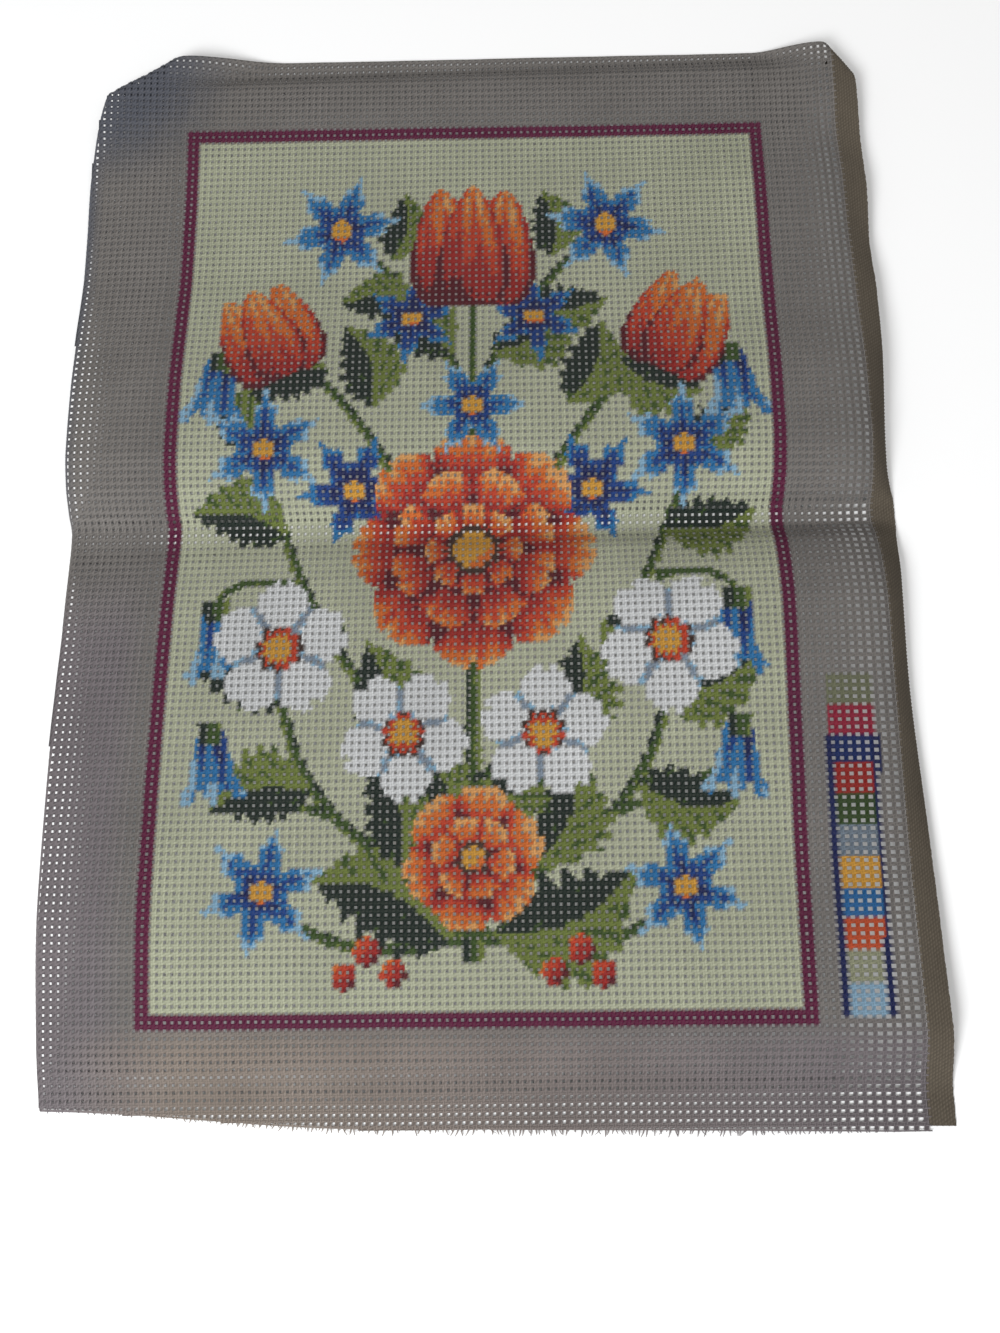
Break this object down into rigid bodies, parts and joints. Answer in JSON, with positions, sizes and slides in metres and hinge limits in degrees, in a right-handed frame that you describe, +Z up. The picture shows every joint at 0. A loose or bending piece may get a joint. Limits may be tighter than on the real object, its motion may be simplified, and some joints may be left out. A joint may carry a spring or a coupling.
{
  "type": "needlepoint canvas panel",
  "caption": "Cut piece of stiff double-thread needlepoint canvas with a printed, bordered design, lying face up with a half-fold crease across its middle.",
  "frame": {"origin": "middle of the cloth's box, on the surface it lies on", "axes": "+X across the cloth to its woven edge, +Y up the cloth to its top edge, +Z up from the surface, out of the printed face"},
  "size_m": [0.3054, 0.4012, 0.0128],
  "materials": {
    "canvas": "matt sized cotton canvas"
  },
  "bodies": {
    "root": {"canvas_panel": "canvas"}
  },
  "joints": []
}
